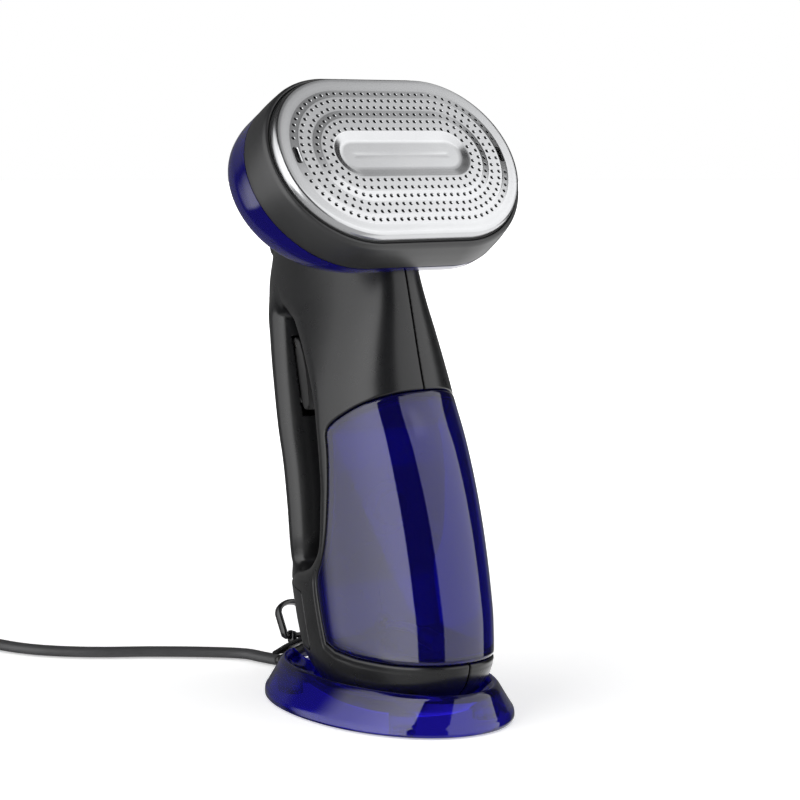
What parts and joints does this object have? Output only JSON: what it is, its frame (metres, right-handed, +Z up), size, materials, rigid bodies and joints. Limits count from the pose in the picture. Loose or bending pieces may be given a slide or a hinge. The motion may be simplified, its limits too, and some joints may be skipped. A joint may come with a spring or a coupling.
{
  "type": "handheld steamer",
  "caption": "Handheld garment steamer with a tilted oblong steam plate, loop handle, slide-out clear water tank and a clear docking stand.",
  "frame": {"origin": "on the floor under the middle of the stand", "axes": "+Z up, the steam plate faces -Y, the grip is on the +Y side, X = 0 is the plane of symmetry of stand, body and head"},
  "size_m": [0.1934, 0.4367, 0.3222],
  "materials": {
    "housing_grey": "fine satin moulded charcoal plastic",
    "bezel_grey": "fine satin moulded charcoal plastic",
    "clear_blue": "clear deep blue moulded plastic, polished",
    "gloss_blue": "polished deep blue plastic",
    "steam_plate": "satin polished",
    "cast_metal": "as cast",
    "gloss_black": "polished black",
    "rubber": "matte",
    "silicone": "translucent grey",
    "cord": "matte sheath",
    "plated_steel": "plated",
    "board": "circuit board",
    "white_plastic": "moulded",
    "brass": "machined",
    "lens": "clear amber"
  },
  "bodies": {
    "stand": {"stand_shell": "clear_blue", "stand_foot_1": "rubber", "stand_foot_2": "rubber", "stand_foot_3": "rubber", "stand_foot_4": "rubber", "stand_foot_5": "rubber"},
    "steamer": {"housing_left": "housing_grey", "housing_right": "housing_grey", "rear_cover": "housing_grey", "cord_boot": "housing_grey", "head_bezel": "bezel_grey", "head_rear_shell": "gloss_blue", "steam_plate": "steam_plate", "boiler_block": "cast_metal", "boiler_cover": "cast_metal", "loop_saddle": "gloss_black", "micro_switch": "gloss_black", "board_relay": "gloss_black", "plate_gasket": "rubber", "socket_seal": "rubber", "mains_plug": "rubber", "delivery_tube": "silicone", "power_cord": "cord", "wire_harness": "cord", "housing_screw_1": "plated_steel", "housing_screw_2": "plated_steel", "housing_screw_3": "plated_steel", "housing_screw_4": "plated_steel", "head_screw_1": "plated_steel", "head_screw_2": "plated_steel", "trigger_pin": "plated_steel", "pump_coil_frame": "plated_steel", "heating_element": "plated_steel", "plug_blade_1": "plated_steel", "plug_blade_2": "plated_steel", "control_board": "board", "pump": "white_plastic", "valve_socket": "white_plastic", "thermostat": "white_plastic", "thermal_fuse": "white_plastic", "indicator_lens": "lens"},
    "tank": {"tank_shell": "clear_blue", "pickup_tube": "silicone", "pickup_filter": "brass", "valve_spring": "plated_steel"},
    "filler_plug": {"tank_plug": "rubber"},
    "valve": {"tank_valve": "brass"},
    "trigger": {"steam_trigger": "bezel_grey"},
    "release": {"tank_release": "bezel_grey"},
    "power_key": {"power_button": "gloss_black"},
    "loop": {"hang_loop": "gloss_black"}
  },
  "joints": [
    {"name": "steamer_lift", "type": "slide", "parent": "stand", "child": "steamer", "axis": [0, 0, 1], "range_m": [0, 0.1]},
    {"name": "tank_slide", "type": "slide", "parent": "steamer", "child": "tank", "axis": [0, -0.9986, 0.0523], "range_m": [0, 0.08]},
    {"name": "plug_pull", "type": "slide", "parent": "tank", "child": "filler_plug", "axis": [0, 0.9986, -0.0523], "range_m": [0, 0.006]},
    {"name": "valve_travel", "type": "slide", "parent": "tank", "child": "valve", "axis": [0, -0.9986, 0.0523], "range_m": [0, 0.0014]},
    {"name": "trigger_pull", "type": "hinge", "parent": "steamer", "child": "trigger", "pos_m": [0, 0.0736, 0.1824], "axis": [1, 0, 0], "range_deg": [0, 8], "stiffness_Nm_per_rad": 0.3},
    {"name": "release_press", "type": "slide", "parent": "steamer", "child": "release", "axis": [0, -1, 0], "range_m": [0, 0.003], "stiffness_N_per_m": 300},
    {"name": "power_press", "type": "slide", "parent": "steamer", "child": "power_key", "axis": [0, -0.9397, -0.3419], "range_m": [0, 0.0012], "stiffness_N_per_m": 300},
    {"name": "loop_swing", "type": "hinge", "parent": "steamer", "child": "loop", "pos_m": [0, 0.0828, 0.0216], "axis": [-1, 0, 0], "range_deg": [-38, 78]}
  ]
}
